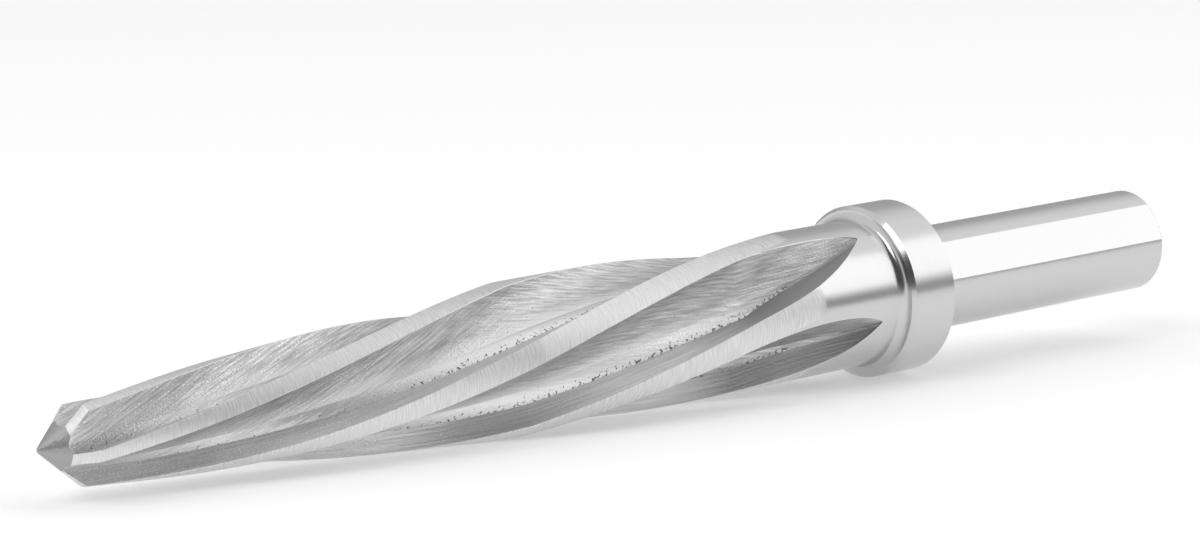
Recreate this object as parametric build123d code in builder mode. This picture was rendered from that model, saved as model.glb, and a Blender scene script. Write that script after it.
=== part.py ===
from build123d import *
from math import atan, atan2, cos, degrees, radians, sin, sqrt, tan
import os

# Construction reamer: a tapered, spiral fluted reamer turned, milled and ground from one steel bar.
# Lengths are in millimetres and angles in degrees.
# A station is a distance along the tool's axis, from its point towards the shank.

# Turned blank
overall_length = 159.2
shank_length = 41.0
shank_diameter = 12.7
shank_end_chamfer = 0.6
collar_width = 6.7
collar_diameter = 20.74
collar_edge_chamfer = 0.5
collar_fillet = 1.2
body_diameter = 17.46
taper_end = 58.0
land_start = 4.7
land_start_diameter = 9.06
point_diameter = 4.6
point_angle = 68.0
point_rounding = 0.4

# Milled spiral flutes
flute_count = 5
lead_at_point = 186.5
lead_at_collar = 232.0
land_width_at_point = 1.3
land_width_at_taper_end = 2.7
land_width_at_collar = 3.3
core_diameter_at_point = 4.8
core_diameter_on_body = 11.0
core_offset = 20.0
root_diameter_at_point = 5.2
root_diameter_on_body = 12.5
root_offset_at_point = -5.0
root_offset_on_body = 5.0
root_offset_length = 14.0
floor_hollow_at_point = 0.01
floor_hollow_on_body = 0.06
wall_hollow_at_point = 0.06
wall_hollow_on_body = 0.09
cutter_margin = 0.1
cutter_height = 1.6

# Run-out of the flutes before the collar
flute_end_gap = 3.3
cutter_radius = 60.0
end_core_offset = 22.0
end_root_turn = 2.5
end_root_rise = 0.22
end_face_slope = 33.0
end_wall_slope = 28.0
end_hollow = 0.01
closing_power = 2.5
station_step = 9.0
run_out_steps = 5

# Milled flats on the shank
flat_count = 3
flat_distance = 5.87

# How the tool lies: one land points straight down at the point, and one flat faces down
land_turn = -90.0
flat_turn = -90.0

# Stations and angles that follow from the sizes
collar_back = overall_length - shank_length
collar_front = collar_back - collar_width
collar_rim = collar_front + collar_edge_chamfer
flute_end = collar_front - flute_end_gap
pitch_angle = 360.0 / flute_count
full_depth = (body_diameter - core_diameter_on_body) / 2
full_depth_end = flute_end - sqrt(2 * cutter_radius * full_depth - full_depth**2)


def between(start, end, share):
    """Value that lies a share of the way from start to end."""
    return start + (end - start) * share


def taper_share(station):
    """0 where the lands start, 1 from the end of the taper on."""
    return min(1.0, (station - land_start) / (taper_end - land_start))


def envelope_radius(station):
    """Radius of the cone and cylinder that carry the cutting edges."""
    return between(land_start_diameter, body_diameter, taper_share(station)) / 2


def core_radius(station):
    """Radius of the deepest line of a flute at its full depth."""
    return between(core_diameter_at_point, core_diameter_on_body, taper_share(station)) / 2


def root_radius(station):
    """Radius of the line where a cutting face ends, at the full depth of the flute."""
    return between(root_diameter_at_point, root_diameter_on_body, taper_share(station)) / 2


def root_offset(station):
    """Angle from the cutting edge to the root of its face. The face is undercut near the point."""
    share = min(1.0, max(0.0, (station - land_start) / root_offset_length))
    return between(root_offset_at_point, root_offset_on_body, share)


def run_out_share(station):
    """0 up to the end of a flute's full depth, 1 at the tip of its leaf-shaped end."""
    return max(0.0, (station - full_depth_end) / (flute_end - full_depth_end))


def closing_share(station):
    """The same from 0 to 1 as run_out_share, but changing most at the start of the run-out."""
    return 1 - (1 - run_out_share(station)) ** closing_power


def land_width(station):
    """Width of a land, which grows along the taper and again towards the collar."""
    if station < taper_end:
        return between(land_width_at_point, land_width_at_taper_end, taper_share(station))
    share = (station - taper_end) / (collar_front - taper_end)
    return between(land_width_at_taper_end, land_width_at_collar, share)


def half_land_angle(station):
    """Half of the angle that a land takes up."""
    return degrees(land_width(station) / envelope_radius(station)) / 2


def land_angle(station):
    """Angle of the middle of the first land, on a left-hand spiral with a growing lead."""
    rate_at_point = 360.0 / lead_at_point
    rate_change = (360.0 / lead_at_collar - rate_at_point) / collar_front
    return land_turn - rate_at_point * station - rate_change * station**2 / 2


def groove_angle(station):
    """Angle of the deepest line of the flute beside the first land's cutting edge."""
    offset = between(core_offset, end_core_offset, run_out_share(station))
    return land_angle(station) - half_land_angle(station) - offset


def land_reach(station):
    """How far the lands reach straight down from the axis."""
    reach = 0.0
    for number in range(flute_count):
        turn = (land_angle(station) + number * pitch_angle + 270.0) % 360.0 - 180.0
        past_edge = max(0.0, abs(turn) - half_land_angle(station))
        reach = max(reach, envelope_radius(station) * cos(radians(past_edge)))
    return reach


# The tool lies on its collar and on the land that reaches lowest, so its axis leans a little.
lean = min(
    degrees(atan2(collar_diameter / 2 - land_reach(station), collar_rim - station))
    for station in range(round(land_start), round(flute_end))
)
axis_direction = Vector(cos(radians(lean)), 0, sin(radians(lean)))
axis_upward = Vector(-sin(radians(lean)), 0, cos(radians(lean)))
axis_sideways = Vector(0, 1, 0)
shank_end_radius = shank_diameter / 2 - shank_end_chamfer
length_on_table = overall_length * cos(radians(lean)) + shank_end_radius * sin(radians(lean))
point_height = collar_diameter / 2 * cos(radians(lean)) - collar_rim * sin(radians(lean))
tool_point = Vector(-length_on_table / 2, 0, point_height)
tool_axis = Axis(tool_point, axis_direction)


def section_plane(station, turn):
    """Plane across the axis, whose first direction points outwards at the angle turn."""
    outwards = axis_sideways * cos(radians(turn)) + axis_upward * sin(radians(turn))
    return Plane(origin=tool_point + axis_direction * station, x_dir=outwards, z_dir=axis_direction)


# Turned blank: half of the lengthwise section, revolved about the axis
side_plane = Plane(origin=tool_point, x_dir=axis_direction, z_dir=-axis_sideways)
cone_slope = radians(point_angle / 2)
cone_start = (point_rounding * (1 - sin(cone_slope)), point_rounding * cos(cone_slope))
cone_end = (cone_start[0] + (point_diameter / 2 - cone_start[1]) / tan(cone_slope), point_diameter / 2)
fillet_start = (collar_front - collar_fillet, body_diameter / 2)
fillet_end = (collar_front, body_diameter / 2 + collar_fillet)
fillet_corner = (collar_front, body_diameter / 2)
chamfer_start = (overall_length - shank_end_chamfer, shank_diameter / 2)
chamfer_end = (overall_length, shank_end_radius)

# The chamfer is drawn as a Bezier line, so that the flats cut its face in spline edges.
with BuildPart() as reamer:
    with BuildSketch(side_plane):
        with BuildLine():
            TangentArc((0, 0), cone_start, tangent=(0, 1))
            Polyline(
                cone_start,
                cone_end,
                (land_start, land_start_diameter / 2),
                (taper_end, body_diameter / 2),
                fillet_start,
            )
            Bezier(fillet_start, fillet_corner, fillet_end)
            Polyline(
                fillet_end,
                (collar_front, collar_diameter / 2 - collar_edge_chamfer),
                (collar_rim, collar_diameter / 2),
                (collar_back, collar_diameter / 2),
                (collar_back, shank_diameter / 2),
                chamfer_start,
            )
            Bezier(chamfer_start, chamfer_end)
            Polyline(chamfer_end, (overall_length, 0), (0, 0))
        make_face()
    revolve(axis=tool_axis)


# Flute cutter: its section is a straight cutting face, a narrow floor and a wide hollow back wall.
# The section's first direction runs outwards through the deepest line of the flute.
def polar(length, turn):
    """Vector of a given length and direction in the plane of a section."""
    return Vector(length * cos(radians(turn)), length * sin(radians(turn)))


def cutter_lift(station):
    """How far the round milling cutter has risen out of the body where the flute runs out."""
    run_out = max(0.0, station - full_depth_end)
    return cutter_radius - sqrt(cutter_radius**2 - run_out**2)


def slope_to(radius, turn, start_radius):
    """Slope against the round surface of a line from start_radius to radius, turned by turn."""
    return degrees(atan2(radius * cos(radians(turn)) - start_radius, radius * sin(radians(turn))))


def cutter_points(station):
    """Corners and control points of the section, from its top over the face and floor to the wall."""
    radius = envelope_radius(station)
    core = core_radius(station)
    closing = closing_share(station)
    taper = taper_share(station)

    # Deepest point and root, raised with the cutter
    lifted_core = core + cutter_lift(station)
    deepest = Vector(lifted_core, 0)
    rise = between(root_radius(station) - core, end_root_rise, closing)
    root_turn = between(core_offset - root_offset(station), end_root_turn, closing)
    root = polar(lifted_core + rise, root_turn)

    # Cutting face: a straight line from the root through the cutting edge and on past it
    face_width = (polar(radius, root_offset(station)) - Vector(root_radius(station), 0)).length
    face_slope = slope_to(radius, root_offset(station), root_radius(station))
    face_slope = between(face_slope, end_face_slope, closing)
    face_end = root + polar(face_width + cutter_margin * radius, root_turn + 90 - face_slope)

    # Floor: a shallow hollow between the root and the deepest point
    floor_hollow = between(floor_hollow_at_point, floor_hollow_on_body, taper)
    floor_chord = root - deepest
    floor_dip = 2 * between(floor_hollow, end_hollow, closing) * floor_chord.length
    floor_control = (root + deepest) / 2 + floor_chord.normalized().rotate(Axis.Z, 90) * floor_dip

    # Back wall: a round hollow from the deepest point to the next land's heel, carried on past it
    heel_turn = pitch_angle - core_offset - 2 * half_land_angle(station)
    heel_distance = (polar(radius, -heel_turn) - Vector(core, 0)).length
    wall_slope = between(slope_to(radius, heel_turn, core), end_wall_slope, closing)
    wall_hollow = between(wall_hollow_at_point, wall_hollow_on_body, taper)
    half_arc = 2 * atan(2 * between(wall_hollow, end_hollow, closing))
    wall_radius = heel_distance / (2 * sin(half_arc))
    half_wall = half_arc + cutter_margin * radius / wall_radius / 2
    start_turn = wall_slope - 90 - degrees(half_arc)
    wall_control = deepest + polar(wall_radius * tan(half_wall), start_turn)
    wall_end = deepest + polar(2 * wall_radius * sin(half_wall), start_turn + degrees(half_wall))
    top = polar(cutter_height * radius, (root_turn - heel_turn) / 2)
    return [top, face_end, root, floor_control, deepest, wall_control, wall_end]


straight_steps = round((full_depth_end + station_step) / station_step)
stations = [between(-station_step, full_depth_end, step / straight_steps) for step in range(straight_steps)]
stations += [between(full_depth_end, flute_end, step / run_out_steps) for step in range(run_out_steps + 1)]

with BuildPart() as flute_cutter:
    for station in stations:
        top, face_end, root, floor_control, deepest, wall_control, wall_end = cutter_points(station)
        with BuildSketch(section_plane(station, groove_angle(station))):
            with BuildLine():
                Polyline(top, face_end, root)
                Bezier(root, floor_control, deepest)
                Bezier(deepest, wall_control, wall_end)
                Line(wall_end, top)
            make_face()
    loft()

with reamer:
    for number in range(flute_count):
        turned_cutter = flute_cutter.part.rotate(tool_axis, number * pitch_angle)
        add(turned_cutter, mode=Mode.SUBTRACT)

# Flats on the shank, for the jaws of a drill chuck
with BuildPart() as flat_cutter:
    with BuildSketch(section_plane(collar_back, flat_turn)):
        flat_depth = shank_diameter / 2 - flat_distance
        with PolarLocations(flat_distance + flat_depth, flat_count):
            Rectangle(2 * flat_depth, shank_diameter)
    extrude(amount=shank_length)

with reamer:
    add(flat_cutter.part, mode=Mode.SUBTRACT)

os.makedirs("parts", exist_ok=True)
reamer.part.label = "reamer"
export_step(reamer.part, "parts/reamer.step")
print("lean in degrees", round(lean, 3), "solids", len(reamer.part.solids()))
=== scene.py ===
from math import cos, pi, radians, sin, sqrt

import bmesh
import bpy
import numpy as np
from mathutils import Matrix, Vector


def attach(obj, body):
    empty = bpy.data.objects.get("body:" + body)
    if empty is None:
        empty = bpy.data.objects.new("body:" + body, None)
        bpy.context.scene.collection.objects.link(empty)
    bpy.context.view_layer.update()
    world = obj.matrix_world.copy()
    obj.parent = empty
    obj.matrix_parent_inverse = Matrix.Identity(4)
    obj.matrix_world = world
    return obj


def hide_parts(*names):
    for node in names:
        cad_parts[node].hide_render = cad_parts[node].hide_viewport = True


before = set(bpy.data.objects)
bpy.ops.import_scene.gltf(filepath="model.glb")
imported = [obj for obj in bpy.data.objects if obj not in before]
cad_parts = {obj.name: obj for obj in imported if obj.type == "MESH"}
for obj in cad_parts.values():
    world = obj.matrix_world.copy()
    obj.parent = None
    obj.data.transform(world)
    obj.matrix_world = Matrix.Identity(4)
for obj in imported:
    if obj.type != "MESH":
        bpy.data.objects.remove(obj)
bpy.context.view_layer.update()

# The reamer is one bar of tool steel. It is turned to a point, a tapered body, a stop collar and a
# shank. Then five spiral flutes and three chuck flats are milled into it, and the lands are ground.

# Lengths are in millimetres. A station is a distance along the axis from the point, and a place
# across the axis is a complex number, whose angle turns from sideways to upwards.
overall_length = 159.2
shank_length = 41.0
shank_diameter = 12.7
shank_end_chamfer = 0.6
collar_width = 6.7
collar_diameter = 20.74
collar_edge_chamfer = 0.5
collar_fillet = 1.2
body_diameter = 17.46
taper_end = 58.0
land_start = 4.7
land_start_diameter = 9.06
millimetre = 0.001

# The cone is as full as in the photo, a little fuller than the solid's
point_diameter = 6.2
point_angle = 84.0
point_rounding = 0.45

# The tool lies on its collar and on the land that reaches lowest, so its axis leans
lean = radians(2.2398)

collar_back = overall_length - shank_length
collar_front = collar_back - collar_width


def between(start, end, share):
    """Value that lies a share of the way from start to end."""
    return start + (end - start) * share


def taper_share(station):
    """0 where the lands start, 1 from the end of the taper on."""
    return np.minimum(1.0, (station - land_start) / (taper_end - land_start))


def envelope_radius(station):
    """Radius of the cone and cylinder that carry the cutting edges."""
    return between(land_start_diameter, body_diameter, taper_share(station)) / 2


def blank_radius(station):
    """Radius of the turned bar in front of the collar: a rounded tip, a cone, a chamfer and the body."""
    slope = radians(point_angle / 2)
    cone_start = point_rounding * (1 - sin(slope))
    cone_radius = point_rounding * cos(slope) + (station - cone_start) * np.tan(slope)
    cone_end = cone_start + (point_diameter / 2 - point_rounding * cos(slope)) / np.tan(slope)
    tip_radius = np.sqrt(np.maximum(0, point_rounding**2 - (point_rounding - station) ** 2))
    chamfer_share = (station - cone_end) / (land_start - cone_end)
    chamfer_radius = between(point_diameter, land_start_diameter, chamfer_share) / 2
    stretches = [station < cone_start, station < cone_end, station < land_start]
    return np.select(stretches, [tip_radius, cone_radius, chamfer_radius], envelope_radius(station))


# Five left-hand spiral flutes are milled into the bar. Each has a smooth cutting face, a narrow floor
# and a wide milled back wall, and ends before the collar in the leaf shape that a round cutter leaves.
flute_count = 5
lead_at_point = 186.5
lead_at_collar = 232.0
land_width_at_point = 1.3
land_width_at_taper_end = 2.7
land_width_at_collar = 3.3
land_turn = radians(-90.0)
core_diameter_at_point = 4.8
core_diameter_on_body = 11.0
core_offset = radians(20.0)
root_diameter_at_point = 5.2
root_diameter_on_body = 12.5
root_offset_at_point = radians(-5.0)
root_offset_on_body = radians(5.0)
root_offset_length = 14.0
floor_hollow_at_point = 0.01
floor_hollow_on_body = 0.06
wall_hollow_at_point = 0.06
wall_hollow_on_body = 0.09

# Over a flute's last stretch the cutter rises on its own arc, and the section closes up to a groove
flute_end_gap = 3.3
cutter_radius = 60.0
end_core_offset = radians(22.0)
end_root_turn = radians(2.5)
end_root_rise = 0.22
end_face_slope = radians(33.0)
end_wall_slope = radians(28.0)
end_hollow = 0.01
closing_power = 2.5

pitch_angle = 2 * pi / flute_count
flute_end = collar_front - flute_end_gap
full_depth = (body_diameter - core_diameter_on_body) / 2
full_depth_end = flute_end - sqrt(2 * cutter_radius * full_depth - full_depth**2)


def half_land_angle(station):
    """Half of the angle that a land takes up: its width grows along the taper and again to the collar."""
    on_taper = between(land_width_at_point, land_width_at_taper_end, taper_share(station))
    body_share = (station - taper_end) / (collar_front - taper_end)
    on_body = between(land_width_at_taper_end, land_width_at_collar, body_share)
    return np.where(station < taper_end, on_taper, on_body) / envelope_radius(station) / 2


def land_angle(station):
    """Angle of the middle of the first land, on a left-hand spiral whose turn per mm falls evenly."""
    rate_at_point = 2 * pi / lead_at_point
    rate_change = (2 * pi / lead_at_collar - rate_at_point) / collar_front
    return land_turn - rate_at_point * station - rate_change * station**2 / 2


def run_out_share(station):
    """0 up to the end of a flute's full depth, 1 at the tip of its leaf-shaped end."""
    return np.clip((station - full_depth_end) / (flute_end - full_depth_end), 0, 1)


def groove_angle(station):
    """Angle of the deepest line of the flute beside the first land."""
    offset = between(core_offset, end_core_offset, run_out_share(station))
    return land_angle(station) - half_land_angle(station) - offset


def slope_to(radius, turn, start_radius):
    """Slope against the round surface of a line from start_radius to radius, turned by turn."""
    return np.arctan2(radius * np.cos(turn) - start_radius, radius * np.sin(turn))


def arc_centre(start, end, hollow):
    """Centre of the arc from start to end whose sag is hollow times its chord, bulging to the right."""
    half_arc = 2 * np.arctan(2 * hollow)
    return (start + end) / 2 + 1j * (end - start) / 2 / np.tan(half_arc)


def flute_lines(station):
    """Section of a flute across the axis, turned so that its deepest point lies on the real axis.

    It has the deepest point, the root of the cutting face, the face's direction, and the centres of the
    floor's arc and of the back wall's arc. Their sizes grow evenly along the taper. Over the last stretch
    the deepest point rises on the cutter's arc, and the rest turns towards the closed end section."""
    radius = envelope_radius(station)
    taper = taper_share(station)
    core = between(core_diameter_at_point, core_diameter_on_body, taper) / 2
    root_radius = between(root_diameter_at_point, root_diameter_on_body, taper) / 2
    offset_share = np.clip((station - land_start) / root_offset_length, 0, 1)
    root_offset = between(root_offset_at_point, root_offset_on_body, offset_share)
    closing = 1 - (1 - run_out_share(station)) ** closing_power
    run_out = np.clip(station - full_depth_end, 0, None)
    deepest = core + cutter_radius - np.sqrt(cutter_radius**2 - run_out**2)

    root_turn = between(core_offset - root_offset, end_root_turn, closing)
    root = (deepest + between(root_radius - core, end_root_rise, closing)) * np.exp(1j * root_turn)
    face_slope = between(slope_to(radius, root_offset, root_radius), end_face_slope, closing)
    face_direction = np.exp(1j * (root_turn + pi / 2 - face_slope))

    floor_hollow = between(floor_hollow_at_point, floor_hollow_on_body, taper)
    floor_centre = arc_centre(root, deepest + 0j, -between(floor_hollow, end_hollow, closing))

    heel_turn = pitch_angle - core_offset - 2 * half_land_angle(station)
    wall_slope = between(slope_to(radius, heel_turn, core), end_wall_slope, closing)
    wall_length = abs(radius * np.exp(-1j * heel_turn) - core)
    wall_end = deepest + wall_length * np.exp(1j * (wall_slope - pi / 2))
    wall_hollow = between(wall_hollow_at_point, wall_hollow_on_body, taper)
    wall_centre = arc_centre(deepest + 0j, wall_end, between(wall_hollow, end_hollow, closing))
    return deepest, root, face_direction, floor_centre, wall_centre


def circle_crossing(centre, point_on_arc, radius, side):
    """Where a circle through point_on_arc crosses the circle of the given radius about the axis.

    Of the two crossings it takes the nearer one on the side of growing (1) or falling (-1) angle."""
    distance = abs(centre)
    arc_radius = abs(point_on_arc - centre)
    cosine = (distance**2 + radius**2 - arc_radius**2) / (2 * distance * radius)
    half_turn = np.arccos(np.clip(cosine, -1, 1))
    first = np.angle(centre * np.exp(1j * half_turn))
    second = np.angle(centre * np.exp(-1j * half_turn))
    to_first, to_second = [np.where(side * angle > 0, abs(angle), 2 * pi) for angle in (first, second)]
    return radius * np.exp(1j * np.where(to_first < to_second, first, second))


def along_arc(centre, start, end, shares):
    """Points at the given shares of the arc about centre from start to end."""
    turn = np.angle((end - centre) / (start - centre))
    return centre[:, None] + (start - centre)[:, None] * np.exp(1j * turn[:, None] * shares)


def along_line(start, end, shares):
    """Points at the given shares of the line from start to end."""
    return start[:, None] + (end - start)[:, None] * shares


# The grid's lines across one flute and its land, in the order of growing angle: down the back wall,
# over the floor, up the cutting face and over the land. The land's two edges are broken by a hair.
wall_steps = 15
floor_steps = 5
face_steps = 6
land_steps = 13
root_column = wall_steps + floor_steps
flute_steps = root_column + face_steps
columns_per_flute = flute_steps + land_steps
columns = columns_per_flute * flute_count
narrow_share = 0.03
edge_break = 0.06


def ring_shares(steps):
    """Even shares from 0 up to, but not with, 1."""
    return np.arange(steps) / steps


def fluted_rings(station):
    """Places across the axis at each station, one flute after the other, and the distance across in mm.

    Each flute's arcs and line are cut where they meet the bar's circle, less the break of the edge. The
    distance is measured from the root line in a flute, and from the middle of the land on a land."""
    bar = blank_radius(station)
    rim = bar - np.minimum(edge_break, bar / 4)
    deepest, root, face_direction, floor_centre, wall_centre = flute_lines(station)
    cut = rim > deepest
    low = np.where(cut, deepest, bar) + 0j

    # On the cone and at the leaf's tip the root lies outside the bar, and the floor runs up to the edge
    along = (root * np.conj(face_direction)).real
    reach = -along + np.sqrt(np.maximum(0, along**2 - abs(root) ** 2 + rim**2))
    deep_enough = abs(root) < rim
    edge_on_floor = circle_crossing(floor_centre, deepest, rim, 1)
    edge = np.where(deep_enough, root + reach * face_direction, edge_on_floor)
    edge = np.where(cut, edge, low)
    heel = np.where(cut, circle_crossing(wall_centre, deepest, rim, -1), low)
    floor_end = np.where(deep_enough, root, between(low, edge, 1 - narrow_share))

    next_heel = heel * np.exp(1j * pitch_angle)
    land_span = (np.angle(next_heel / edge) % (2 * pi))[:, None]
    break_angle = np.minimum((edge_break / bar)[:, None], land_span / 4)
    land_angles = break_angle + (land_span - 2 * break_angle) * np.linspace(0, 1, land_steps - 1)
    land = (bar * np.exp(1j * np.angle(edge)))[:, None] * np.exp(1j * land_angles)
    wall_arc = along_arc(wall_centre, heel, low, ring_shares(wall_steps))
    wall = np.where(cut[:, None], wall_arc, low[:, None])
    floor_arc = along_arc(floor_centre, low, floor_end, ring_shares(floor_steps))
    flute_floor = np.where(cut[:, None], floor_arc, low[:, None])
    face = along_line(floor_end, edge, ring_shares(face_steps))
    one_flute = np.concatenate([wall, flute_floor, face, edge[:, None], land, next_heel[:, None]], axis=1)

    walked = np.cumsum(abs(np.diff(one_flute, axis=1, prepend=one_flute[:, :1])), axis=1)
    in_flute = walked - walked[:, root_column, None]
    land_middle = np.exp(1j * (land_angle(station) - groove_angle(station)))[:, None]
    on_land = np.angle(one_flute / land_middle) * bar[:, None]
    starts = np.concatenate([in_flute[:, :flute_steps], on_land[:, flute_steps:-1]], axis=1)
    ends = np.concatenate([in_flute[:, 1:flute_steps + 1], on_land[:, flute_steps + 1:]], axis=1)
    turned_in = one_flute[:, :-1] * np.exp(1j * groove_angle(station))[:, None]
    turns = [np.exp(1j * pitch_angle * k) for k in range(flute_count)]
    around = np.concatenate([turned_in * turn for turn in turns], axis=1)
    return around, np.tile(starts, flute_count), np.tile(ends, flute_count)


# The fluted body is a stack of rings across the axis. They stand close together on the rounded tip
# and the cone, and again at the leaf-shaped ends of the flutes.
point_rings = 46
body_rings = 330
leaf_rings = 36
nose_rings = 8
past_cone = 0.02
leaf_tip_length = 2.0
cone_top = land_start + past_cone
leaf_top = flute_end - leaf_tip_length
nose_end = point_rounding * (1 - sin(radians(point_angle / 2)))
nose_turns = np.linspace(0, pi / 2 - radians(point_angle / 2), nose_rings + 1)[1:-1]
stations = np.concatenate([
    point_rounding * (1 - np.cos(nose_turns)),
    np.linspace(nose_end, cone_top, point_rings, endpoint=False),
    np.linspace(cone_top, leaf_top, body_rings, endpoint=False),
    np.linspace(leaf_top, flute_end, leaf_rings),
])
rings, flute_starts, flute_ends = fluted_rings(stations)

# Behind the flutes are the plain turned neck, the stop collar with a fillet in front, and the shank.
# Three flats are milled on the shank at 120 degrees for the jaws of a chuck.
flat_distance = 5.87
flat_turn = radians(-90.0)
flat_count = 3
neck_rings = 4
fillet_rings = 9
end_chamfer_rings = 6
rim_bevel = 0.12
shank_root_ring = 0.4
end_face_radius = 1.2

# The fillet is a quadratic curve from the neck to the collar's face, pulled towards their corner
fillet_start = collar_front - collar_fillet
bend = np.linspace(0, 1, fillet_rings)[:, None]
corner_points = np.array([
    [fillet_start, body_diameter / 2],
    [collar_front, body_diameter / 2],
    [collar_front, body_diameter / 2 + collar_fillet],
])
fillet = (
    (1 - bend) ** 2 * corner_points[0]
    + 2 * bend * (1 - bend) * corner_points[1]
    + bend**2 * corner_points[2]
)
collar_profile = np.array([
    [collar_front, collar_diameter / 2 - collar_edge_chamfer],
    [collar_front + collar_edge_chamfer, collar_diameter / 2],
    [collar_back - rim_bevel, collar_diameter / 2],
    [collar_back, collar_diameter / 2 - rim_bevel],
])
shank_profile = np.array([
    [collar_back, shank_diameter / 2],
    [collar_back + shank_root_ring, shank_diameter / 2],
    *[[overall_length - step, shank_diameter / 2 - shank_end_chamfer + step]
      for step in np.linspace(shank_end_chamfer, 0, end_chamfer_rings)],
    [overall_length, end_face_radius],
])
neck_stations = np.linspace(flute_end, fillet_start, neck_rings + 1)[1:-1]
neck_profile = np.stack([neck_stations, np.full(len(neck_stations), body_diameter / 2)], axis=1)
turned_profile = np.concatenate([neck_profile, fillet, collar_profile])

last_angles = np.unwrap(np.angle(rings[-1]))
turned_angles = np.tile(last_angles, (len(turned_profile), 1))
turned_rings = turned_profile[:, 1:] * np.exp(1j * turned_angles)
even_angles = last_angles[0] + np.arange(columns) * 2 * pi / columns

# The flats' long edges fall on lines of the grid. The flats are listed for more than a whole turn, so
# that every column lies between two edges. On a flat, the radius is the flat's distance from the axis
# over the cosine of the turn from the flat's middle.
half_flat = np.arccos(2 * flat_distance / shank_diameter)
flat_middles = flat_turn + np.arange(-1, 6) * 2 * pi / flat_count
flat_edges = np.sort(np.concatenate([flat_middles - half_flat, flat_middles + half_flat]))
edge_columns = np.round((flat_edges - even_angles[0]) * columns / (2 * pi))
shank_angles = np.interp(np.arange(columns), edge_columns, flat_edges)
turn_from_flat = (shank_angles - flat_turn + pi / flat_count) % (2 * pi / flat_count) - pi / flat_count
shank_radii = np.minimum(shank_profile[:, 1:], flat_distance / np.cos(turn_from_flat))
shank_rings = shank_radii * np.exp(1j * shank_angles)

all_stations = np.concatenate([stations, turned_profile[:, 0], shank_profile[:, 0]])
all_rings = np.concatenate([rings, turned_rings, shank_rings])

# On the plain rings the distance across runs once around, and the distance along follows the profile
plain_profile = np.concatenate([turned_profile, shank_profile])
plain_angles = np.concatenate([turned_angles, np.tile(shank_angles, (len(shank_profile), 1))])
next_angles = np.concatenate([plain_angles[:, 1:], plain_angles[:, :1] + 2 * pi], axis=1)
starts = np.concatenate([flute_starts, plain_angles * plain_profile[:, 1:]])
ends = np.concatenate([flute_ends, next_angles * plain_profile[:, 1:]])
profile_steps = np.diff(plain_profile, axis=0, prepend=[[flute_end, body_diameter / 2]])
profile_walk = np.cumsum(np.hypot(*profile_steps.T))
distances_along = np.concatenate([stations, flute_end + profile_walk])


def to_world(station, across):
    """Places in metres: along the leaning axis by station, and beside it by the complex number across.

    The collar's front rim touches the table, and the tool's length on the table has its middle at 0."""
    end_radius = shank_diameter / 2 - shank_end_chamfer
    length_on_table = overall_length * cos(lean) + end_radius * sin(lean)
    collar_rim = collar_front + collar_edge_chamfer
    tool_point = [-length_on_table / 2, 0, collar_diameter / 2 * cos(lean) - collar_rim * sin(lean)]
    axis_direction = np.array([cos(lean), 0, sin(lean)])
    axis_sideways = np.array([0, 1, 0])
    axis_upward = np.array([-sin(lean), 0, cos(lean)])
    places = (
        np.array(tool_point)
        + np.multiply.outer(station, axis_direction)
        + np.multiply.outer(across.real, axis_sideways)
        + np.multiply.outer(across.imag, axis_upward)
    )
    return places * millimetre


def closed_grid(rings_of_points, first_pole, last_pole):
    """Vertices and faces of a grid of rings that is closed around and has a pole at each end."""
    ring_count, around = rings_of_points.shape[:2]
    vertices = np.concatenate([rings_of_points.reshape(-1, 3), [first_pole, last_pole]])
    ring, column = np.meshgrid(np.arange(ring_count - 1), np.arange(around), indexing="ij")
    beside = (column + 1) % around
    quads = np.stack([
        ring * around + column,
        ring * around + beside,
        (ring + 1) * around + beside,
        (ring + 1) * around + column,
    ], axis=-1).reshape(-1, 4)
    column = np.arange(around)
    beside = (column + 1) % around
    last_ring = (ring_count - 1) * around
    first_pole_number = np.full(around, ring_count * around)
    first_fan = np.stack([first_pole_number, beside, column], axis=1)
    last_fan = np.stack([first_pole_number + 1, last_ring + column, last_ring + beside], axis=1)
    return vertices, quads, first_fan, last_fan


ring_places = to_world(np.repeat(all_stations[:, None], columns, axis=1), all_rings)
front_pole = to_world(np.array([0.0]), np.array([0j]))[0]
back_pole = to_world(np.array([overall_length]), np.array([0j]))[0]
vertices, quads, first_fan, last_fan = closed_grid(ring_places, front_pole, back_pole)
mesh = bpy.data.meshes.new("reamer_steel")
mesh.from_pydata(vertices.tolist(), [], quads.tolist() + first_fan.tolist() + last_fan.tolist())

# The surface's own map holds millimetres: along the tool, and across it from the lines that
# fluted_rings measures from
corner_along = np.repeat(distances_along[:, None], columns, axis=1)
quad_along = np.stack([corner_along[:-1], corner_along[:-1], corner_along[1:], corner_along[1:]], axis=-1)
quad_across = np.stack([starts[:-1], ends[:-1], ends[1:], starts[1:]], axis=-1)
quad_map = np.stack([quad_along, quad_across], axis=-1).reshape(-1, 2)
front_map = np.zeros((3 * columns, 2))
back_map = np.tile([distances_along[-1], 0.0], (3 * columns, 1))
surface_map = mesh.uv_layers.new(name="surface_mm")
surface_map.data.foreach_set("uv", np.concatenate([quad_map, front_map, back_map]).ravel())

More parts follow.
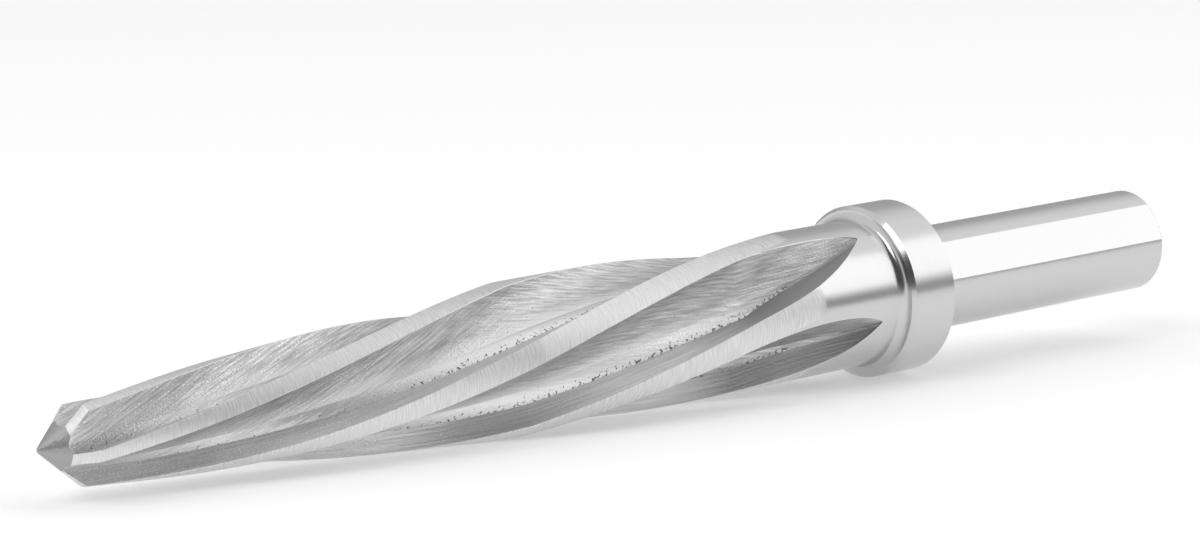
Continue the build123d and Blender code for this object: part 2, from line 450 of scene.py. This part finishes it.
# Each face has the finish that its tool left: turned, ground or milled
TURNED, POINT, LAND, TROUGH, CUTTING_FACE, FLAT = range(6)
column_in_flute = np.arange(columns) % columns_per_flute
flute_finish = np.select(
    [column_in_flute < root_column, column_in_flute < flute_steps],
    [TROUGH, CUTTING_FACE], LAND)
cell_stations = (all_stations[:-1] + all_stations[1:]) / 2
lathe_finish_end = 2.6
uncut = abs(all_rings[:-1]) > blank_radius(all_stations[:-1])[:, None] - edge_break / 2
finish = np.tile(flute_finish, (len(cell_stations), 1))
finish[(cell_stations < lathe_finish_end)[:, None] & uncut] = POINT
finish[cell_stations > flute_end] = TURNED
quarter_column = 0.5 * pi / columns
on_flat = abs(turn_from_flat) < half_flat - quarter_column
on_flat &= abs(np.roll(turn_from_flat, -1)) < half_flat + quarter_column
on_shank = (cell_stations > collar_back) & (cell_stations < overall_length - shank_end_chamfer)
finish[on_shank[:, None] & on_flat[None, :]] = FLAT
face_finish = np.concatenate([finish.ravel(), np.full(columns, POINT), np.full(columns, TURNED)])
mesh.polygons.foreach_set("material_index", face_finish.astype(np.int32))

# Points that fall together at the leaf tips and on the cone become one
merge_distance = 1e-6
grid_mesh = bmesh.new()
grid_mesh.from_mesh(mesh)
bmesh.ops.remove_doubles(grid_mesh, verts=grid_mesh.verts, dist=merge_distance)
grid_mesh.to_mesh(mesh)
grid_mesh.free()
mesh.shade_smooth()
sharp_angle = radians(18)
mesh.set_sharp_from_angle(angle=sharp_angle)
reamer = bpy.data.objects.new("reamer_steel", mesh)
bpy.context.scene.collection.objects.link(reamer)
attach(reamer, "root")
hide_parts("reamer")

# Turned and polished tool steel of the neck, collar and shank: a clear soft mirror with hair-fine
# lines around the tool. The lines are drawn coarser than the real ones, to show at all.
turned_colour = "CFCFCF"
turned_shine = 0.15
turned_haze = 0.27
turned_line = 0.22
turned_line_length = 30.0
turned_depth = 0.004


def linear(hex_colour):
    """Linear colour with alpha 1 from an sRGB hex value such as B4B4B4."""
    channels = np.array([int(hex_colour[i:i + 2], 16) / 255 for i in (0, 2, 4)])
    low = channels / 12.92
    high = ((channels + 0.055) / 1.055) ** 2.4
    return [*np.where(channels <= 0.04045, low, high), 1.0]


def add_node(tree, kind, values=None, links=None, **settings):
    """Adds one shader node: values go to its inputs, and a link joins an input to (node, output).

    Sockets go by name, or by number where a node gives several the same name or has only one."""
    node = tree.nodes.new("ShaderNode" + kind)
    for name, value in settings.items():
        setattr(node, name, value)
    for name, value in (values or {}).items():
        node.inputs[name].default_value = value
    for name, (source, output) in (links or {}).items():
        tree.links.new(source.outputs[output], node.inputs[name])
    return node


def new_steel(name, hex_colour, roughness):
    """Gives the reamer one more bare metal, with its surface map in millimetres taken apart.

    The colour and the roughness are the metal's means, and a pattern linked over them varies about them."""
    steel = bpy.data.materials.new(name)
    steel.use_nodes = True
    tree = steel.node_tree
    shader = tree.nodes["Principled BSDF"]
    shader.inputs["Base Color"].default_value = linear(hex_colour)
    shader.inputs["Metallic"].default_value = 1.0
    shader.inputs["Roughness"].default_value = roughness
    surface = add_node(tree, "UVMap", uv_map="surface_mm")
    place = add_node(tree, "SeparateXYZ", links={"Vector": (surface, "UV")})
    mesh.materials.append(steel)
    return tree, shader, place


def marks(tree, along, across, mark_length, mark_width):
    """Uneven marks: noise whose grain is mark_length long and mark_width wide, in millimetres.

    It is noise on the two map distances, which are sockets, each divided by the grain's size that way."""
    long_way = add_node(tree, "Math", {1: mark_length}, {0: along}, operation="DIVIDE")
    short_way = add_node(tree, "Math", {1: mark_width}, {0: across}, operation="DIVIDE")
    grain = add_node(tree, "CombineXYZ", links={"X": (long_way, 0), "Y": (short_way, 0)})
    return add_node(tree, "TexNoise", {"Scale": 1.0, "Detail": 2.0, "Roughness": 0.55},
                    {"Vector": (grain, 0)}, noise_dimensions="2D")


tree, shader, place = new_steel("turned_tool_steel", turned_colour, roughness=0.21)
lines = marks(tree, (place, "Y"), (place, "X"), turned_line_length, turned_line)
lines_relief = add_node(tree, "Bump", {"Distance": turned_depth * millimetre}, {"Height": (lines, "Fac")})
haze = add_node(tree, "MapRange", {"To Min": turned_shine, "To Max": turned_haze},
                {"Value": (lines, "Fac")})
tree.links.new(haze.outputs["Result"], shader.inputs["Roughness"])
tree.links.new(lines_relief.outputs["Normal"], shader.inputs["Normal"])

# The point is turned tool steel, left as it came off the lathe: duller than the shank, with plain
# rings around the cone over an uneven skin. Rings and skin are drawn coarser than the real ones.
point_line = 0.3
point_depth = 0.03
point_grains_per_mm = 2.6
point_grain_depth = 0.08
tree, shader, place = new_steel("turned_point_steel", "B0B0B0", roughness=0.5)
lines = marks(tree, (place, "Y"), (place, "X"), turned_line_length, point_line)
grain = add_node(tree, "TexNoise", {"Scale": point_grains_per_mm / millimetre, "Detail": 3.0},
                 {"Vector": (add_node(tree, "TexCoord"), "Object")})
grain_relief = add_node(tree, "Bump", {"Distance": point_grain_depth * millimetre},
                        {"Height": (grain, "Fac")})
lines_relief = add_node(tree, "Bump", {"Distance": point_depth * millimetre},
                        {"Height": (lines, "Fac"), "Normal": (grain_relief, "Normal")})
tree.links.new(lines_relief.outputs["Normal"], shader.inputs["Normal"])

# The lands are ground across by a wheel, which leaves short bowed marks side by side and a brighter,
# duller sheen than the mirror of the turned steel. The wheel lifted off in an arc before the collar,
# and past that arc and beside the land's own width the bar is still plain turned steel.
land_dark = "D8D8D8"
land_light = "F2F2F2"
land_shine = 0.42
land_haze = 0.56
unground_haze = 0.2
wheel_bow = 9.0
wheel_end = 99.4
wheel_fade = 1.0
wheel_half_width = 1.75
wheel_edge = 0.1
land_mark = 0.15
land_mark_length = 2.6
land_depth = 0.018

# Nearly all of a noise pattern lies between these two values
noise_span = {"From Min": 0.3, "From Max": 0.7}

# A Mix node has the same socket names for values and for colours, so its sockets go by number
FACTOR, A_VALUE, B_VALUE, A_COLOUR, B_COLOUR = 0, 2, 3, 6, 7
MIXED_VALUE, MIXED_COLOUR = 0, 2

tree, shader, place = new_steel("ground_land_steel", "E5E5E5", roughness=0.49)
squared = add_node(tree, "Math", {1: 2.0}, {0: (place, "Y")}, operation="POWER")
bow = add_node(tree, "Math", {1: wheel_bow}, {0: (squared, 0)}, operation="DIVIDE")
bowed = add_node(tree, "Math", links={0: (place, "X"), 1: (bow, 0)}, operation="ADD")
lines = marks(tree, (place, "Y"), (bowed, 0), land_mark_length, land_mark)
before_end = add_node(tree, "MapRange", {"From Min": wheel_end, "From Max": wheel_end - wheel_fade},
                      {"Value": (bowed, 0)})
from_middle = add_node(tree, "Math", links={0: (place, "Y")}, operation="ABSOLUTE")
width_limits = {"From Min": wheel_half_width, "From Max": wheel_half_width - wheel_edge}
within_width = add_node(tree, "MapRange", width_limits, {"Value": (from_middle, 0)})
ground = add_node(tree, "Math", links={0: (before_end, 0), 1: (within_width, 0)}, operation="MINIMUM")
lines_relief = add_node(tree, "Bump", {"Distance": land_depth * millimetre},
                        {"Height": (lines, "Fac"), "Strength": (ground, 0)})
haze = add_node(tree, "MapRange", {**noise_span, "To Min": land_shine, "To Max": land_haze},
                {"Value": (lines, "Fac")})
sheen = add_node(tree, "Mix", {A_VALUE: unground_haze}, {FACTOR: (ground, 0), B_VALUE: (haze, 0)},
                 data_type="FLOAT")
streak = add_node(tree, "MapRange", noise_span, {"Value": (lines, "Fac")})
streaky = add_node(tree, "Mix", {A_COLOUR: linear(land_dark), B_COLOUR: linear(land_light)},
                   {FACTOR: (streak, 0)}, data_type="RGBA")
colour = add_node(tree, "Mix", {A_COLOUR: linear(turned_colour)},
                  {FACTOR: (ground, 0), B_COLOUR: (streaky, MIXED_COLOUR)}, data_type="RGBA")
tree.links.new(colour.outputs[MIXED_COLOUR], shader.inputs["Base Color"])
tree.links.new(sheen.outputs[MIXED_VALUE], shader.inputs["Roughness"])
tree.links.new(lines_relief.outputs["Normal"], shader.inputs["Normal"])

# The trough is milled tool steel and left rough: a satin grain under the cutter's streaks, which slant
# steeply near the point and flatly on the body, and fade towards the leaf-shaped end. Grain and
# streaks are drawn coarser than the real ones, to show.
# The trough's colours, and the mean set on its steel, are painted darker than the rest of the steel:
# painted shade in the flutes.
trough_shaded_dark = "A6A6A6"
trough_shaded_light = "D2D2D2"
trough_shine = 0.3
trough_haze = 0.42
steep_slant = radians(17)
flat_slant = radians(-14)
slant_change = 45.0
slant_changed = 62.0
streak_length = 4.0
streak_width = 0.26
streak_depth = 0.045
leaf_streaks_from = 78.0
leaf_streaks_to = 92.0
leaf_streaks = 0.25
trough_grains_per_mm = 4.2
trough_grain_depth = 0.045
tree, shader, place = new_steel("milled_trough_steel", "BCBCBC", roughness=0.36)
slanted_streaks = []
for slant in (steep_slant, flat_slant):
    slanted = add_node(tree, "VectorRotate", {"Angle": slant}, {"Vector": (tree.nodes["UV Map"], "UV")},
                       rotation_type="Z_AXIS")
    axes = add_node(tree, "SeparateXYZ", links={"Vector": (slanted, "Vector")})
    slanted_streaks.append(marks(tree, (axes, "X"), (axes, "Y"), streak_length, streak_width))
near_point, near_collar = slanted_streaks
on_body = add_node(tree, "MapRange", {"From Min": slant_change, "From Max": slant_changed},
                   {"Value": (place, "X")})
streaks = add_node(tree, "Mix", links={FACTOR: (on_body, 0), A_VALUE: (near_point, "Fac"),
                                       B_VALUE: (near_collar, "Fac")}, data_type="FLOAT")
grain = add_node(tree, "TexNoise",
                 {"Scale": trough_grains_per_mm / millimetre, "Detail": 3.0, "Roughness": 0.6},
                 {"Vector": (add_node(tree, "TexCoord"), "Object")})
leaf_limits = {"From Min": leaf_streaks_from, "From Max": leaf_streaks_to}
streaks_strength = add_node(tree, "MapRange", {**leaf_limits, "To Min": 1.0, "To Max": leaf_streaks},
                            {"Value": (place, "X")})
streaks_relief = add_node(tree, "Bump", {"Distance": streak_depth * millimetre},
                          {"Height": (streaks, MIXED_VALUE), "Strength": (streaks_strength, 0)})
grain_relief = add_node(tree, "Bump", {"Distance": trough_grain_depth * millimetre},
                        {"Height": (grain, "Fac"), "Normal": (streaks_relief, "Normal")})
streak = add_node(tree, "MapRange", noise_span, {"Value": (streaks, MIXED_VALUE)})
streaky = add_node(tree, "Mix", {A_COLOUR: linear(trough_shaded_dark), B_COLOUR: linear(trough_shaded_light)},
                   {FACTOR: (streak, 0)}, data_type="RGBA")
haze = add_node(tree, "MapRange", {**noise_span, "To Min": trough_shine, "To Max": trough_haze},
                {"Value": (grain, "Fac")})

# A lighter strip beside the root line is a painted highlight. It is weaker near the point, and it ends
# where the streaks have faded.
highlight_strip_colour = "F2F2F2"
strip_edge = 3.2
strip_core = 1.2
strip_near_point = 0.5
pitted_from = 50.0
pitted_to = 96.0
strip_rise = 20.0
from_root = add_node(tree, "Math", links={0: (place, "Y")}, operation="ABSOLUTE")
in_strip = add_node(tree, "MapRange", {"From Min": strip_edge, "From Max": strip_core},
                    {"Value": (from_root, 0)})
before_leaf = add_node(tree, "MapRange", {"From Min": leaf_streaks_to, "From Max": leaf_streaks_from},
                       {"Value": (place, "X")})
rise_limits = {"From Min": pitted_from - strip_rise, "From Max": pitted_from}
behind_point = add_node(tree, "MapRange", {**rise_limits, "To Min": strip_near_point, "To Max": 1.0},
                        {"Value": (place, "X")})
strip_ends = add_node(tree, "Math", links={0: (before_leaf, 0), 1: (behind_point, 0)},
                      operation="MULTIPLY")
highlight_strip = add_node(tree, "Math", links={0: (in_strip, 0), 1: (strip_ends, 0)}, operation="MULTIPLY")
root_highlight = add_node(tree, "Mix", {B_COLOUR: linear(highlight_strip_colour)},
                  {FACTOR: (highlight_strip, 0), A_COLOUR: (streaky, MIXED_COLOUR)}, data_type="RGBA")

# Torn pits, sunk in relief, lie thickest beside the root line, and their dark colour is painted shade in
# the pits and along that crease. Small bright specks on the lighter streaks are painted glints. Both are
# noise above a threshold, so a lower threshold makes more of them.
pit_shade_colour = "787878"
pit_size = 0.45
pit_depth = -0.06
pit_band = 1.1
pit_threshold_at_root = 0.53
pit_threshold_in_trough = 0.76
pit_fade_to_point = 10.0
fewer_pits_near_point = 0.12
pit_fade_to_leaf = 4.0
fewer_pits_in_leaf = 0.3
glint_colour = "F4F4F4"
speck_size = 0.22
speck_threshold_on_dark = 0.69
speck_threshold_on_light = 0.59
speckled_to = 50.0
speck_fade = 15.0
fewer_specks_on_body = 0.07
blot_edge = 0.05


def blots(tree, size, threshold):
    """1 inside uneven blots: where noise with grains of a size in millimetres passes the threshold.

    The threshold is a socket, so the blots can thin out along and across the flute."""
    noise = add_node(tree, "TexNoise", {"Scale": 1 / size, "Detail": 2.0, "Roughness": 0.6},
                     {"Vector": (tree.nodes["UV Map"], "UV")}, noise_dimensions="2D")
    above = add_node(tree, "Math", links={0: (noise, "Fac"), 1: threshold}, operation="SUBTRACT")
    return add_node(tree, "MapRange", {"From Min": 0.0, "From Max": blot_edge}, {"Value": (above, 0)})


pit_limits = {"From Min": 0.0, "From Max": pit_band,
              "To Min": pit_threshold_at_root, "To Max": pit_threshold_in_trough}
near_root = add_node(tree, "MapRange", pit_limits, {"Value": (from_root, 0)})
start_limits = {"From Min": pitted_from, "From Max": pitted_from - pit_fade_to_point}
outside_start = add_node(tree, "MapRange", {**start_limits, "To Max": fewer_pits_near_point},
                         {"Value": (place, "X")})
end_limits = {"From Min": pitted_to, "From Max": pitted_to + pit_fade_to_leaf}
outside_end = add_node(tree, "MapRange", {**end_limits, "To Max": fewer_pits_in_leaf},
                       {"Value": (place, "X")})
outside = add_node(tree, "Math", links={0: (outside_start, 0), 1: (outside_end, 0)}, operation="ADD")
pit_threshold = add_node(tree, "Math", links={0: (near_root, 0), 1: (outside, 0)}, operation="ADD")
pits = blots(tree, pit_size, (pit_threshold, 0))
streak_limits = {"From Min": 0.35, "From Max": 0.65,
                 "To Min": speck_threshold_on_dark, "To Max": speck_threshold_on_light}
on_streak = add_node(tree, "MapRange", streak_limits, {"Value": (streaks, MIXED_VALUE)})
speckled_limits = {"From Min": speckled_to - speck_fade, "From Max": speckled_to}
fewer_specks = add_node(tree, "MapRange", {**speckled_limits, "To Max": fewer_specks_on_body},
                        {"Value": (place, "X")})
speck_threshold = add_node(tree, "Math", links={0: (on_streak, 0), 1: (fewer_specks, 0)},
                           operation="ADD")
glint_specks = blots(tree, speck_size, (speck_threshold, 0))
pits_relief = add_node(tree, "Bump", {"Distance": pit_depth * millimetre},
                       {"Height": (pits, 0), "Normal": (grain_relief, "Normal")})
speckled = add_node(tree, "Mix", {B_COLOUR: linear(glint_colour)},
                    {FACTOR: (glint_specks, 0), A_COLOUR: (root_highlight, MIXED_COLOUR)}, data_type="RGBA")
pitted = add_node(tree, "Mix", {B_COLOUR: linear(pit_shade_colour)},
                  {FACTOR: (pits, 0), A_COLOUR: (speckled, MIXED_COLOUR)}, data_type="RGBA")
tree.links.new(pitted.outputs[MIXED_COLOUR], shader.inputs["Base Color"])
tree.links.new(haze.outputs["Result"], shader.inputs["Roughness"])
tree.links.new(pits_relief.outputs["Normal"], shader.inputs["Normal"])

# The cutting faces are milled smoother than the trough: lines along the flute over a fine grain, both drawn
# coarser than the real ones. Raised specks lie near the point, and their bright colour is a painted glint.
# In the leaf the face is painted darker, as painted shade.
face_dark = "D6D6D6"
face_light = "ECECEC"
face_glint_colour = "FAFAFA"
leaf_shade_colour = "9E9E9E"
face_line = 0.25
face_line_length = 9.0
face_depth = 0.03
face_grains_per_mm = 3.6
face_grain_depth = 0.03
face_speck_threshold = 0.58
face_speck_threshold_on_body = 0.74
face_speck_height = 0.22
tree, shader, place = new_steel("milled_face_steel", "E1E1E1", roughness=0.42)
lines = marks(tree, (place, "X"), (place, "Y"), face_line_length, face_line)
grain = add_node(tree, "TexNoise",
                 {"Scale": face_grains_per_mm / millimetre, "Detail": 3.0, "Roughness": 0.6},
                 {"Vector": (add_node(tree, "TexCoord"), "Object")})
threshold_limits = {**speckled_limits, "To Min": face_speck_threshold,
                    "To Max": face_speck_threshold_on_body}
speck_threshold = add_node(tree, "MapRange", threshold_limits, {"Value": (place, "X")})
glint_specks = blots(tree, speck_size, (speck_threshold, 0))
lines_relief = add_node(tree, "Bump", {"Distance": face_depth * millimetre}, {"Height": (lines, "Fac")})
grain_relief = add_node(tree, "Bump", {"Distance": face_grain_depth * millimetre},
                        {"Height": (grain, "Fac"), "Normal": (lines_relief, "Normal")})
specks_relief = add_node(tree, "Bump", {"Distance": face_speck_height * millimetre},
                         {"Height": (glint_specks, 0), "Normal": (grain_relief, "Normal")})
streak = add_node(tree, "MapRange", noise_span, {"Value": (lines, "Fac")})
streaky = add_node(tree, "Mix", {A_COLOUR: linear(face_dark), B_COLOUR: linear(face_light)},
                   {FACTOR: (streak, 0)}, data_type="RGBA")
speckled = add_node(tree, "Mix", {B_COLOUR: linear(face_glint_colour)},
                    {FACTOR: (glint_specks, 0), A_COLOUR: (streaky, MIXED_COLOUR)}, data_type="RGBA")
in_leaf = add_node(tree, "MapRange", leaf_limits, {"Value": (place, "X")})
darkened = add_node(tree, "Mix", {B_COLOUR: linear(leaf_shade_colour)},
                    {FACTOR: (in_leaf, 0), A_COLOUR: (speckled, MIXED_COLOUR)}, data_type="RGBA")
tree.links.new(darkened.outputs[MIXED_COLOUR], shader.inputs["Base Color"])
tree.links.new(specks_relief.outputs["Normal"], shader.inputs["Normal"])

# The three flats are milled along the shank with a fine cut: a flat mirror with straight lines,
# which are drawn coarser than the real ones.
flat_line = 0.25
flat_line_length = 40.0
flat_depth = 0.003
tree, shader, place = new_steel("milled_flat_steel", turned_colour, roughness=0.16)
lines = marks(tree, (place, "X"), (place, "Y"), flat_line_length, flat_line)
lines_relief = add_node(tree, "Bump", {"Distance": flat_depth * millimetre}, {"Height": (lines, "Fac")})
tree.links.new(lines_relief.outputs["Normal"], shader.inputs["Normal"])

# Floor: a wide sheet of matt white paper. It glows a little where the camera, or a mirror or glass,
# sees it, so that it looks as white as in the photo. That glow lights nothing else.
floor_size = 3.0
paper_colour = "F4F4F4"
paper_lift = 0.32
corner = floor_size / 2
floor_mesh = bpy.data.meshes.new("floor")
floor_mesh.from_pydata([(-corner, -corner, 0), (corner, -corner, 0), (corner, corner, 0),
                        (-corner, corner, 0)], [], [(0, 1, 2, 3)])
floor = bpy.data.objects.new("floor", floor_mesh)
bpy.context.scene.collection.objects.link(floor)
paper = bpy.data.materials.new("matt_white_paper")
paper.use_nodes = True
tree = paper.node_tree
shader = tree.nodes["Principled BSDF"]
shader.inputs["Base Color"].default_value = linear(paper_colour)
shader.inputs["Roughness"].default_value = 0.9
shader.inputs["Specular IOR Level"].default_value = 0.1
paths = add_node(tree, "LightPath")
clear = add_node(tree, "Math", links={0: (paths, "Is Glossy Ray"), 1: (paths, "Is Transmission Ray")},
                 operation="MAXIMUM")
seen = add_node(tree, "Math", links={0: (paths, "Is Camera Ray"), 1: (clear, 0)}, operation="MAXIMUM")
lift = add_node(tree, "Math", {1: paper_lift}, {0: (seen, 0)}, operation="MULTIPLY")
shader.inputs["Emission Color"].default_value = linear("FFFFFF")
tree.links.new(lift.outputs[0], shader.inputs["Emission Strength"])
floor_mesh.materials.append(paper)

# Light: a pale room. Bare steel looks as light or dark as what it mirrors, so the room has a grey far
# wall, a soft glow around the side lamp, a dim side behind the camera, a dim skirting and a duller
# ceiling. A side is an angle turned from +Y towards +X.
wall_colour = "ECECEC"
ceiling_colour = "D0D0D0"
far_colour = "B0B0B0"
glow_colour = "FFFFFF"
dim_colour = "505050"
skirting_colour = "9C9C9C"
far_side = radians(30)
glow_side = radians(115)
glow_height = radians(40)
dim_side = radians(208)
dim_height = radians(20)
skirting_side = radians(137)

# Each patch fades in between two cosines of the angle from its middle
far_fade = {"From Min": 0.5, "From Max": 0.95}
glow_fade = {"From Min": 0.6, "From Max": 0.92}
dim_fade = {"From Min": 0.47, "From Max": 0.66}
skirting_fade = {"From Min": 0.45, "From Max": 0.75}

# The skirting and the ceiling fade in between two heights, as sines of the angle above the floor
skirting_top = {"From Min": 0.2, "From Max": 0.14}
ceiling_edge = {"From Min": 0.84, "From Max": 0.98}


def direction(side, height=0.0):
    """Direction that is turned by side from +Y towards +X, and raised by height."""
    return cos(height) * sin(side), cos(height) * cos(side), sin(height)


scene = bpy.context.scene
world = bpy.data.worlds.new("studio")
world.use_nodes = True
room = world.node_tree
ray = add_node(room, "TexCoord")
ray_parts = add_node(room, "SeparateXYZ", links={"Vector": (ray, "Generated")})
in_ceiling = add_node(room, "MapRange", ceiling_edge, {"Value": (ray_parts, "Z")})
room_colour = add_node(room, "Mix", {A_COLOUR: linear(wall_colour), B_COLOUR: linear(ceiling_colour)},
                       {FACTOR: (in_ceiling, 0)}, data_type="RGBA")
patches = [
    (direction(far_side), far_fade, "LINEAR", far_colour),
    (direction(glow_side, glow_height), glow_fade, "LINEAR", glow_colour),
    (direction(dim_side, dim_height), dim_fade, "SMOOTHSTEP", dim_colour),
]
for middle, fade, fade_shape, patch_colour in patches:
    towards = add_node(room, "VectorMath", {1: middle}, {0: (ray, "Generated")}, operation="DOT_PRODUCT")
    inside = add_node(room, "MapRange", fade, {"Value": (towards, "Value")},
                      interpolation_type=fade_shape)
    room_colour = add_node(room, "Mix", {B_COLOUR: linear(patch_colour)},
                           {FACTOR: (inside, 0), A_COLOUR: (room_colour, MIXED_COLOUR)},
                           data_type="RGBA")
towards_skirting = add_node(room, "VectorMath", {1: direction(skirting_side)}, {0: (ray, "Generated")},
                            operation="DOT_PRODUCT")
beside = add_node(room, "MapRange", skirting_fade, {"Value": (towards_skirting, "Value")})
below_top = add_node(room, "MapRange", skirting_top, {"Value": (ray_parts, "Z")})
in_skirting = add_node(room, "Math", links={0: (beside, 0), 1: (below_top, 0)}, operation="MULTIPLY")
room_colour = add_node(room, "Mix", {B_COLOUR: linear(skirting_colour)},
                       {FACTOR: (in_skirting, 0), A_COLOUR: (room_colour, MIXED_COLOUR)},
                       data_type="RGBA")
room.links.new(room_colour.outputs[MIXED_COLOUR], room.nodes["Background"].inputs["Color"])
scene.world = world
scene.view_settings.view_transform = "Standard"


def soft_box(name, side, height, distance, box_width, box_height, power):
    """Rectangular lamp that looks at the tool from a side and a height in degrees, and a distance."""
    lamp = bpy.data.lights.new(name, "AREA")
    lamp.shape = "RECTANGLE"
    lamp.size = box_width
    lamp.size_y = box_height
    lamp.energy = power
    towards_lamp = Vector(direction(radians(side), radians(height)))
    holder = bpy.data.objects.new(name, lamp)
    holder.location = towards_lamp * distance
    holder.rotation_euler = towards_lamp.to_track_quat("Z", "Y").to_euler()
    scene.collection.objects.link(holder)


soft_box("side_box", side=124, height=31, distance=1.2, box_width=1.1, box_height=0.68, power=1.35)
soft_box("point_box", side=252, height=50, distance=1.2, box_width=0.7, box_height=0.5, power=3.0)

# Camera: a long lens from the photo's side, low over the table and in front of the point. Its place
# and turns, in degrees, were fitted until the tool's outlines fell on those in the photo.
camera_place = Vector((-0.250685, -0.303137, 0.077859))
camera_heading = -38.765
camera_dip = 8.848
camera_roll = -0.224
camera_data = bpy.data.cameras.new("camera")
camera_data.lens = 105.0
camera_data.sensor_width = 36.0
camera_data.clip_start = 0.01
camera = bpy.data.objects.new("camera", camera_data)
camera_turn = (
    Matrix.Rotation(radians(camera_heading), 4, "Z")
    @ Matrix.Rotation(radians(90 - camera_dip), 4, "X")
    @ Matrix.Rotation(radians(camera_roll), 4, "Z")
)
camera.matrix_world = Matrix.Translation(camera_place) @ camera_turn
scene.collection.objects.link(camera)
scene.camera = camera
